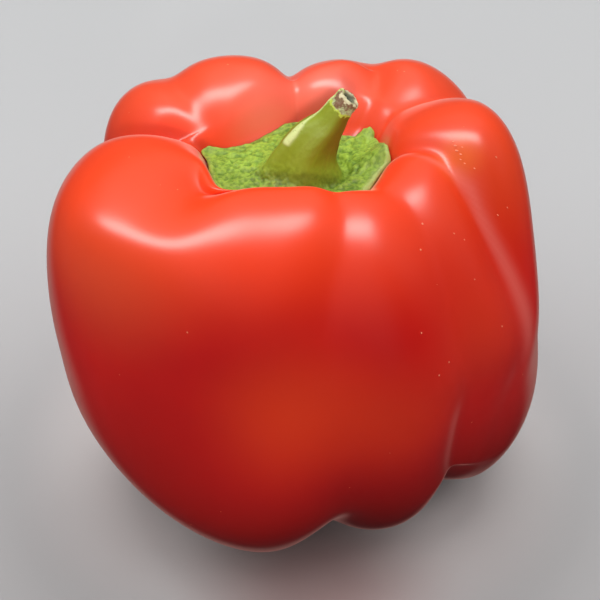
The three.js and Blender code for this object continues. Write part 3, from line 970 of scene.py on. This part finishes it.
@dataclass
class CalyxAndStalk:
    """The green calyx on the dimple's floor and the stalk that grows out of it.

    Each side is an azimuth and a width. cut_rim is a share of the stalk's radius, and the other
    measures are millimetres or places along the pod's section.
    """

    form: PodForm
    columns: int = 360
    steps: int = 15
    seat_gap: float = 0.3
    floor_place: float = 2.0
    rim_thickness: float = 1.1
    lip_swell: float = 0.2
    lip_side: tuple[float, float] = (345.0, 26.0)
    pale_lip_side: tuple[float, float] = (330.0, 24.0)
    # Painted shade: the side of the stalk that is darkened.
    brown_side: tuple[float, float] = (335.0, 50.0)
    worn_side: tuple[float, float] = (215.0, 40.0)
    shelf_radius: float = 9.8
    shelf_height: float = 69.0
    shelf_climb: float = 0.8
    ridge_count: int = 5
    ridge_azimuth: float = 200.0
    fin_height: float = 0.14
    fin_width: float = 13.0
    strip_height: float = 0.2
    cut_rim: float = 0.56
    cut_shift: float = 0.35
    cut_depth: float = 0.9
    lump_height: float = 0.5
    lump_size: float = 1.1
    fine_lump_size: float = 0.55
    crinkle: float = 0.2
    crinkle_size: float = 0.8
    fine_crinkle_size: float = 0.35
    dry_length: float = 2.6

    def rim(self, azimuth: np.ndarray) -> np.ndarray:
        """The place along the pod's section where the calyx ends."""
        at, place = zip(*CALYX_RIM)
        return np.interp(azimuth, at, place, period=360.0)

    def shelf(self, azimuth: np.ndarray) -> np.ndarray:
        """The raised shelf of the calyx between its edge and the foot of the stalk.

        Args:
            azimuth: The columns' azimuths.

        Returns:
            A ring of points.
        """
        a = np.radians(azimuth)
        height = self.shelf_height + self.shelf_climb * (self.rim(azimuth) - self.floor_place)
        return np.stack([self.shelf_radius * np.cos(a), self.shelf_radius * np.sin(a), height], -1)

    def stalk_ring(
        self, section: StalkSection, azimuth: np.ndarray, share: float = 1.0, sink: float = 0.0
    ) -> np.ndarray:
        """A ring of the stalk.

        Args:
            section: The section that it follows.
            azimuth: The columns' azimuths.
            share: Its size as a share of the section's.
            sink: How far it is sunk along the stalk's axis.

        Returns:
            A ring of points.
        """
        a = np.radians(azimuth)
        lean = math.radians(section.lean)
        fin = self.fin_height * hill(turn(section.fin, azimuth), self.fin_width)
        ridges = section.ridge * np.cos(self.ridge_count * np.radians(azimuth - self.ridge_azimuth))
        size = share * (1 + ridges + fin)
        across = section.half_width * size * np.cos(a)
        deep = section.half_depth * size * np.sin(a)
        return np.stack(
            [
                section.x + across * math.cos(lean) - sink * math.sin(lean),
                section.y + deep,
                section.z - across * math.sin(lean) - sink * math.cos(lean),
            ],
            -1,
        )

    def edge_lift(self, azimuth: np.ndarray) -> np.ndarray:
        """How thick the calyx's edge is: thickest along the lip on the right."""
        return self.rim_thickness + self.lip_swell * towards(self.lip_side, azimuth)

    def build(self) -> bpy.types.Mesh:
        """Builds the calyx and the stalk as one skin, with masks for its finish.

        Returns:
            The green mesh in the growing frame.
        """
        azimuth = np.arange(self.columns) * 360.0 / self.columns
        rings, along = self._rings(azimuth)
        masks = self._masks(azimuth, along, rings)
        rings = self._relief(rings, along, masks)
        top = self.stalk_ring(self._cut(), azimuth[:1], 0.0, self.cut_depth)[0]
        seat = self.form.skin(np.zeros(1), np.zeros(1), self.seat_gap)[0]
        mesh = ring_mesh("calyx_and_stalk_skin", top, rings[::-1], seat)
        for name, mask in masks.items():
            store(mesh, name, np.concatenate([[mask[-1].mean()], mask[::-1].ravel(), [0.0]]))
        store(mesh, "grain", self._grain(azimuth, along))
        return mesh

    def _cut(self) -> StalkSection:
        """The stalk's last section, shifted to where the hollow of its cut is."""
        top = STALK_SECTIONS[-1]
        return replace(top, y=top.y + self.cut_shift)

    def _rings(self, azimuth: np.ndarray) -> tuple[np.ndarray, np.ndarray]:
        """The rings from the seat, round the calyx's edge and up the stalk into its cut.

        Args:
            azimuth: The columns' azimuths.

        Returns:
            The points by ring and column, and the rings' places: below 0 up to the calyx's edge,
            1 on its shelf, then one for each section of the stalk.
        """
        rim = self.rim(azimuth)
        thickness = self.edge_lift(azimuth)
        under = [
            self.form.skin(azimuth, share * rim, self.seat_gap) for share in np.linspace(0.1, 0.96, 8)
        ]
        edge = []
        for angle in np.radians(np.linspace(-60, 60, 9)):
            round_out = 1.0 - 0.03 * (1.0 - math.cos(angle))
            lift = self.seat_gap + thickness * (0.5 + 0.5 * math.sin(angle))
            edge.append(self.form.skin(azimuth, round_out * rim, lift))
        upper = self.form.skin(azimuth, 0.95 * rim, self.seat_gap + 1.1 * thickness)
        knots = [upper, self.shelf(azimuth)]
        knots += [self.stalk_ring(section, azimuth) for section in STALK_SECTIONS]
        flank, number = smooth_path(np.stack(knots), self.steps)
        cut = self._cut()
        hollow = [
            self.stalk_ring(STALK_SECTIONS[-1], azimuth, 0.96, -0.15),
            self.stalk_ring(cut, azimuth, 0.86, -0.2),
            self.stalk_ring(cut, azimuth, 0.72, -0.12),
            self.stalk_ring(cut, azimuth, self.cut_rim, 0.1),
            self.stalk_ring(cut, azimuth, 0.8 * self.cut_rim, 0.6 * self.cut_depth),
            self.stalk_ring(cut, azimuth, 0.5 * self.cut_rim, 0.9 * self.cut_depth),
        ]
        along = np.concatenate(
            [
                np.full(len(under), -1.0),
                np.linspace(-0.4, 0.0, len(edge)),
                number,
                number[-1] + 0.1 * np.arange(1, len(hollow) + 1),
            ]
        )
        return np.stack([*under, *edge, *flank, *hollow]), along

    def _masks(self, azimuth: np.ndarray, along: np.ndarray, rings: np.ndarray) -> dict[str, np.ndarray]:
        """Masks by ring and column.

        Args:
            azimuth: The columns' azimuths.
            along: The rings' places: 0 at the calyx's edge, 1 on its shelf, then the stalk.
            rings: The points, before the relief.

        Returns:
            lump, the rounded lumps; stalk; painted_shade, the stalk's side darkened as painted shade;
            strip, the pale ridge; lip, the edge; worn, the side where the dried bark reaches furthest
            down; tip, the distance from the cut in millimetres; and hollow, inside the cut, whose dark
            colour is painted shade.
        """
        even = np.ones_like(azimuth)
        every_ring = np.ones((len(along), 1))
        last = len(STALK_SECTIONS) + 1.0
        lump = np.empty(rings.shape[:2])
        for row, ring in enumerate(rings):
            for column, point in enumerate(ring):
                broad = noise.noise(Vector(point / self.lump_size))
                fine = noise.noise(Vector(point / self.fine_lump_size))
                lump[row, column] = 0.5 + 0.9 * broad + 0.6 * fine
        lump = np.clip(lump, 0.0, 1.0)
        knots = np.arange(len(STALK_SECTIONS)) + 2.0
        size = np.interp(along, knots, [section.half_width for section in STALK_SECTIONS])
        at, where, wide = zip(*STRIP)
        middle = np.interp(along, at, where)[:, None]
        half = np.degrees(np.interp(along, at, wide) / size)[:, None]
        beside = np.abs(turn(middle, azimuth)) / half
        started = rise(along, at[0], 0.02)[:, None]
        gaps = np.linalg.norm(np.diff(rings, axis=0), axis=-1).mean(-1)
        travelled = np.concatenate([[0.0], np.cumsum(gaps)])
        cut_at = travelled[np.searchsorted(along, last)]
        return {
            "lump": lump,
            "stalk": rise(along, 2.35, 0.35)[:, None] * even,
            # Painted shade down one side of the stalk.
            "painted_shade": towards(self.brown_side, azimuth) * rise(along, 3.3, 0.5)[:, None],
            "strip": rise(-beside, -1.0, 0.12) * started,
            "lip": rise(-along, 0.0, 0.04)[:, None] * (0.15 + 0.7 * towards(self.pale_lip_side, azimuth)),
            "worn": towards(self.worn_side, azimuth) * every_ring,
            "tip": np.maximum(cut_at - travelled, 0.0)[:, None] * even,
            "hollow": rise(along, last + 0.36, 0.03)[:, None] * even,
        }

    @staticmethod
    def _grain(azimuth: np.ndarray, along: np.ndarray) -> np.ndarray:
        """Where each point lies in a grain that runs up the stalk.

        Args:
            azimuth: The columns' azimuths.
            along: The rings' places.

        Returns:
            A vector for each point, in the mesh's order.
        """
        a = np.radians(azimuth)
        up = 0.35 * along[::-1, None]
        rows = np.stack(np.broadcast_arrays(6.0 * np.cos(a), 6.0 * np.sin(a), up), -1)
        ends = np.zeros((1, 3))
        return np.concatenate([ends, rows.reshape(-1, 3), ends])

    def _relief(self, rings: np.ndarray, along: np.ndarray, masks: dict[str, np.ndarray]) -> np.ndarray:
        """Raises the calyx's lumps and the stalk's pale strip, and crinkles the dried tip.

        Args:
            rings: The points by ring and column.
            along: The rings' places.
            masks: The masks by ring and column.

        Returns:
            The points with their relief.
        """
        across = np.roll(rings, -1, axis=1) - np.roll(rings, 1, axis=1)
        up = np.gradient(rings, axis=0)
        normal = np.cross(across, up)
        normal /= np.maximum(np.linalg.norm(normal, axis=-1, keepdims=True), 1e-9)
        lumpy = np.interp(along, [-0.5, 0.0, 0.3, 1.3, 2.6, 12.0], [0.0, 0.6, 1.0, 1.0, 0.1, 0.0])
        lift = lumpy[:, None] * self.lump_height * (masks["lump"] - 0.5)
        lift += self.strip_height * masks["strip"]
        dry = rise(-masks["tip"], -self.dry_length, 0.3) * (along > 2.0)[:, None]
        for row in np.flatnonzero(dry.max(1) > 0.02):
            for column, point in enumerate(rings[row]):
                broad = noise.noise(Vector(point / self.crinkle_size))
                rough = broad + 0.6 * noise.noise(Vector(point / self.fine_crinkle_size))
                lift[row, column] += dry[row, column] * self.crinkle * rough
        return rings + normal * lift[..., None]


# Azimuth, place along the section and radius of the pale specks that stand out.
SPECKS = (
    (348.6, 4.2, 0.2), (347.5, 4.28, 0.3), (346.3, 4.36, 0.32), (345.5, 4.5, 0.26), (344.4, 4.56, 0.2),
    (347.1, 4.46, 0.18), (343.8, 4.7, 0.2), (318, 4.92, 0.2), (312, 5.22, 0.2), (343.5, 4.94, 0.2),
    (348, 5.2, 0.22), (342, 5.68, 0.18), (339.5, 5.6, 0.2), (324.5, 5.22, 0.16), (302.5, 6.13, 0.16),
    (308.5, 6.55, 0.16), (305, 6.73, 0.16), (320.5, 8.25, 0.18), (155, 2.27, 0.22),
)


@dataclass(frozen=True)
class Specks:
    """Tiny pale specks on the pod's skin: the ones that stand out and a sprinkling between them."""

    form: PodForm
    more: int = 46
    more_places: tuple[float, float] = (4.0, 9.5)
    smallest: float = 0.08
    largest: float = 0.17
    flatness: float = 0.3
    seed: int = 11

    def seeds(self) -> bpy.types.Mesh:
        """Sets single points on the skin, each with its size and the way it faces.

        Returns:
            A mesh of points in the growing frame.
        """
        random = np.random.default_rng(self.seed)
        named = np.array(SPECKS)
        azimuth = np.concatenate([named[:, 0], random.uniform(0.0, 360.0, self.more)])
        place = np.concatenate([named[:, 1], random.uniform(*self.more_places, self.more)])
        size = np.concatenate([named[:, 2], random.uniform(self.smallest, self.largest, self.more)])
        at = self.form.skin(azimuth, place)
        outward = self.form.skin(azimuth, place, 1.0) - at
        mesh = bpy.data.meshes.new("speck_seeds")
        mesh.from_pydata((at * MILLIMETRE).tolist(), [], [])
        store(mesh, "outward", outward)
        store(mesh, "size", size * MILLIMETRE)
        return mesh

    @staticmethod
    def tree(material: bpy.types.Material) -> bpy.types.NodeTree:
        """Builds the Geometry Nodes tree that sets a flattened bead on each point.

        Args:
            material: The beads' material.

        Returns:
            The tree, with the points and the flatness as its inputs.
        """
        tree = bpy.data.node_groups.new("Specks", "GeometryNodeTree")
        tree.interface.new_socket("Points", in_out="INPUT", socket_type="NodeSocketGeometry")
        tree.interface.new_socket("Flatness", in_out="INPUT", socket_type="NodeSocketFloat")
        tree.interface.new_socket("Specks", in_out="OUTPUT", socket_type="NodeSocketGeometry")
        graph = Graph(tree)
        given = graph.add("NodeGroupInput").outputs
        ball = graph.add("GeometryNodeMeshIcoSphere", {"Radius": 1.0, "Subdivisions": 3})
        size = graph.add("GeometryNodeInputNamedAttribute", {"Name": "size"}, data_type="FLOAT")
        facing = graph.add(
            "GeometryNodeInputNamedAttribute", {"Name": "outward"}, data_type="FLOAT_VECTOR"
        )
        radius = size.outputs["Attribute"]
        height = graph.math("MULTIPLY", radius, given["Flatness"])
        scale = graph.add("ShaderNodeCombineXYZ", {"X": radius, "Y": radius, "Z": height})
        turned = graph.add(
            "FunctionNodeAlignRotationToVector", {"Vector": facing.outputs["Attribute"]}, axis="Z"
        )
        placed = graph.add(
            "GeometryNodeInstanceOnPoints",
            {
                "Points": given["Points"],
                "Instance": ball.outputs["Mesh"],
                "Rotation": turned.outputs[0],
                "Scale": scale.outputs[0],
            },
        )
        real = graph.add("GeometryNodeRealizeInstances", {"Geometry": placed.outputs[0]})
        smooth = graph.add("GeometryNodeSetShadeSmooth", {"Geometry": real.outputs[0]})
        dressed = graph.add(
            "GeometryNodeSetMaterial", {"Geometry": smooth.outputs[0], "Material": material}
        )
        graph.add("NodeGroupOutput", {"Specks": dressed.outputs[0]})
        return tree

    def build(self, shift: Vector, material: bpy.types.Material) -> bpy.types.Object:
        """Builds the specks.

        Args:
            shift: How far the growing frame stands from the part's frame.
            material: The specks' material.

        Returns:
            A plain mesh object in the part's frame.
        """
        seeds = self.seeds()
        seeds.transform(Matrix.Translation(shift))
        return grown_on(seeds, self.tree(material), {"Flatness": self.flatness}, "pod_specks")


def grown_on(
    seeds: bpy.types.Mesh, tree: bpy.types.NodeTree, values: dict[str, float], name: str
) -> bpy.types.Object:
    """Runs a Geometry Nodes tree on a mesh.

    Args:
        seeds: The mesh that the tree starts from.
        tree: The tree.
        values: Its inputs by name.
        name: The name of the new object.

    Returns:
        An object with the result as a plain mesh and no modifier.
    """
    piece = new_object(name, seeds)
    modifier = piece.modifiers.new("grow", "NODES")
    modifier.node_group = tree
    for item in tree.interface.items_tree:
        if item.in_out == "INPUT" and item.name in values:
            modifier[item.identifier] = values[item.name]
    evaluated = piece.evaluated_get(bpy.context.evaluated_depsgraph_get())
    mesh = bpy.data.meshes.new_from_object(evaluated)
    piece.modifiers.remove(modifier)
    piece.data = mesh
    mesh.name = name
    return piece


@dataclass(frozen=True)
class PaleSpeck:
    """The finish of the specks: pale orange, a little rougher than the skin."""

    colour: Colour = (0.95, 0.30, 0.17)
    darker: Colour = (0.9, 0.2, 0.08)
    roughness: float = 0.45

    def build(self, effects: SurfaceEffects) -> bpy.types.Material:
        """Makes the material.

        Args:
            effects: The shared node groups.

        Returns:
            The material.
        """
        material, graph, shader = new_material("pale_speck")
        patches = effects.patches(graph, size=6.0, softness=0.4)
        colour = graph.mix(patches, rgba(self.colour), rgba(self.darker))
        graph.feed(shader, {"Base Color": colour, "Roughness": self.roughness})
        return material


@dataclass(frozen=True)
class Daylight:
    """Broad soft light from one side of the room, with no glint of its own. Angles are degrees."""

    name: str
    azimuth: float
    elevation: float
    spread: float
    strength: float


DAYLIGHTS = (
    Daylight("high_back", 90.0, 58.0, 60.0, 2.0),
    Daylight("top", 90.0, 88.0, 60.0, 0.35),
    Daylight("left", 180.0, 45.0, 60.0, 0.95),
    Daylight("right", 0.0, 45.0, 60.0, 0.85),
    Daylight("low_front", 262.0, 24.0, 60.0, 0.8),
)


@dataclass(frozen=True)
class Studio:
    """The pale floor, the soft light from above and the camera, in millimetres and degrees."""

    elevation: float = 39.62
    distance: float = 316.0
    lens: float = 97.63
    sensor: float = 36.0
    target: tuple[float, float, float] = (-0.07, 0.39, 37.53)
    floor_half: float = 3000.0
    floor_drop: float = 0.15
    floor_colour: Colour = (0.50, 0.505, 0.51)
    # Painted shade: the floor grows darker towards the front over the span below.
    floor_front: Colour = (0.35, 0.345, 0.345)
    floor_fade: tuple[float, float] = (-120.0, 120.0)
    floor_roughness: float = 0.7
    floor_sheen: float = 0.2
    # Painted light: the floor is paler round the pod, over the reach below.
    floor_near: Colour = (0.72, 0.67, 0.66)
    near_reach: tuple[float, float] = (62.0, 34.0)
    # Painted shadow in front of the pod, reddened as painted light bounced off it.
    floor_shade: Colour = (0.42, 0.29, 0.28)
    shade_at: tuple[float, float, float] = (3.0, -38.0, 0.0)
    shade_reach: tuple[float, float] = (31.0, 4.0)
    glow_at: tuple[float, float, float] = (-20.0, -300.0, 215.0)
    glow_towards: tuple[float, float, float] = (-6.0, 17.0, 77.0)
    glow_watts: float = 6.0
    glow_cone: float = 8.0
    glow_radius: float = 30.0
    window_at: tuple[float, float, float] = (-250.0, -226.0, 900.0)
    window_size: tuple[float, float] = (1120.0, 272.0)
    window_watts: float = 20.0
    room_colour: Colour = (0.99, 1.0, 1.01)
    room_strength: float = 0.05

    def camera(self, shift: Vector) -> None:
        """Sets the camera at the photograph's angle.

        Args:
            shift: How far the growing frame stands from the part's frame.
        """
        data = bpy.data.cameras.new("camera")
        data.lens = self.lens
        data.sensor_width = self.sensor
        data.clip_start = 0.01
        camera = new_object("camera", data)
        e = math.radians(self.elevation)
        away = Vector((0.0, -math.cos(e), math.sin(e))) * self.distance
        camera.location = (Vector(self.target) + away) * MILLIMETRE + shift
        camera.rotation_euler = (math.radians(90.0 - self.elevation), 0.0, 0.0)
        bpy.context.scene.camera = camera

    def floor(self) -> None:
        """Lays the pale floor, with painted shade towards the front, painted light round the pod and a
        painted shadow in front of it, reddened as painted light bounced off the pod.
        """
        half = self.floor_half * MILLIMETRE
        drop = -self.floor_drop * MILLIMETRE
        corners = [(-half, -half, drop), (half, -half, drop), (half, half, drop), (-half, half, drop)]
        mesh = bpy.data.meshes.new("floor")
        mesh.from_pydata(corners, [], [(0, 1, 2, 3)])
        floor = new_object("floor", mesh)
        material, graph, shader = new_material("pale_floor")
        here = graph.add("ShaderNodeTexCoord").outputs["Object"]
        depth = graph.add("ShaderNodeSeparateXYZ", {"Vector": here}).outputs["Y"]
        # Painted shade: darker towards the front.
        back = graph.ramp(depth, self.floor_fade)
        colour = graph.mix(back, rgba(self.floor_front), rgba(self.floor_colour))
        # Painted light round the pod, then a painted shadow in front of it, reddened as painted bounce
        # light.
        spots = (
            (Vector(), self.near_reach, self.floor_near),
            (Vector(self.shade_at) * MILLIMETRE, self.shade_reach, self.floor_shade),
        )
        for middle, reach, tint in spots:
            colour = graph.mix(graph.nearness(here, middle, reach), colour, rgba(tint))
        finish = {
            "Base Color": colour,
            "Roughness": self.floor_roughness,
            "Specular IOR Level": self.floor_sheen,
        }
        graph.feed(shader, finish)
        mesh.materials.append(material)
        floor.visible_glossy = False

    def window(self) -> None:
        """Hangs the long window that gives the glints, facing straight down."""
        data = bpy.data.lights.new("window", "AREA")
        data.shape = "RECTANGLE"
        data.size = self.window_size[0] * MILLIMETRE
        data.size_y = self.window_size[1] * MILLIMETRE
        data.energy = self.window_watts
        window = new_object("window", data)
        window.location = Vector(self.window_at) * MILLIMETRE
        window.visible_diffuse = False

    def glow(self) -> None:
        """Adds the soft light that reaches over the front lobes to the dimple's back wall."""
        data = bpy.data.lights.new("dimple_glow", "SPOT")
        data.energy = self.glow_watts
        data.spot_size = math.radians(self.glow_cone)
        data.spot_blend = 1.0
        data.shadow_soft_size = self.glow_radius * MILLIMETRE
        lamp = new_object("dimple_glow", data)
        start = Vector(self.glow_at)
        lamp.location = start * MILLIMETRE
        lamp.rotation_euler = (Vector(self.glow_towards) - start).to_track_quat("-Z", "Y").to_euler()
        lamp.visible_glossy = False

    @staticmethod
    def daylight(light: Daylight) -> None:
        """Adds one broad light that shades the surfaces but leaves no glint.

        Args:
            light: The light's direction, spread and strength.
        """
        data = bpy.data.lights.new(light.name, "SUN")
        data.angle = math.radians(light.spread)
        data.energy = light.strength
        lamp = new_object(light.name, data)
        lamp.rotation_euler = (0.0, math.radians(90.0 - light.elevation), math.radians(light.azimuth))
        lamp.visible_glossy = False

    def lights(self) -> None:
        """Lights the room: the window's glints, the daylight and a weak glow from all sides."""
        self.window()
        self.glow()
        for light in DAYLIGHTS:
            self.daylight(light)
        scene = bpy.context.scene
        scene.world = bpy.data.worlds.new("room")
        scene.world.use_nodes = True
        background = scene.world.node_tree.nodes["Background"]
        background.inputs["Color"].default_value = rgba(self.room_colour)
        background.inputs["Strength"].default_value = self.room_strength
        scene.view_settings.view_transform = "Standard"


def place_piece(
    name: str, mesh: bpy.types.Mesh, shift: Vector, material: bpy.types.Material
) -> bpy.types.Object:
    """Makes a piece of a mesh.

    Args:
        name: The piece's name.
        mesh: The mesh in the growing frame, which is moved.
        shift: How far the growing frame stands from the part's frame.
        material: The piece's finish.

    Returns:
        The piece, in the part's frame.
    """
    mesh.transform(Matrix.Translation(shift))
    mesh.materials.append(material)
    return new_object(name, mesh)


def growing_shift(mesh: bpy.types.Mesh) -> Vector:
    """How far the growing frame stands from the part's frame.

    Args:
        mesh: The pod's mesh in its growing frame.

    Returns:
        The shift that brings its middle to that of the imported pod's box.
    """
    low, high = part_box("pod")
    points = np.empty(len(mesh.vertices) * 3)
    mesh.vertices.foreach_get("co", points)
    points = points.reshape(-1, 3)
    middle = (points.min(0) + points.max(0)) / 2
    return Vector(((low.x + high.x) / 2 - middle[0], (low.y + high.y) / 2 - middle[1], 0.0))


def main() -> None:
    """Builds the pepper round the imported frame."""
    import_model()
    form = PodForm()
    effects = SurfaceEffects()

    skin = Pod(form).build()
    shift = growing_shift(skin)
    studio = Studio()
    studio.camera(shift)
    studio.floor()
    studio.lights()

    # Blushes of the skin and spots of painted light and shade, each at its point.
    blushes_and_painted_light = []
    for tint_spot in BLUSHES_AND_PAINTED_LIGHT:
        point = form.skin(np.array([tint_spot.azimuth]), np.array([tint_spot.place]))[0]
        blushes_and_painted_light.append((Vector(point) * MILLIMETRE + shift, tint_spot))
    red = RedSkin().build(effects, blushes_and_painted_light)
    pod = place_piece("pod_skin", skin, shift, red)
    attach(pod, "root")
    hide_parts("pod")
    LOG.info("pod_skin: %d faces", len(skin.polygons))

    specks = Specks(form).build(shift, PaleSpeck().build(effects))
    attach(specks, "root")
    LOG.info("pod_specks: %d faces", len(specks.data.polygons))

    green = CalyxAndStalk(form).build()
    stalk = place_piece("calyx_and_stalk_skin", green, shift, GreenSkin().build(effects))
    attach(stalk, "root")
    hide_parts("calyx_and_stalk")
    LOG.info("calyx_and_stalk_skin: %d faces", len(green.polygons))


if __name__ == "__main__":
    logging.basicConfig(level=logging.INFO)
    main()
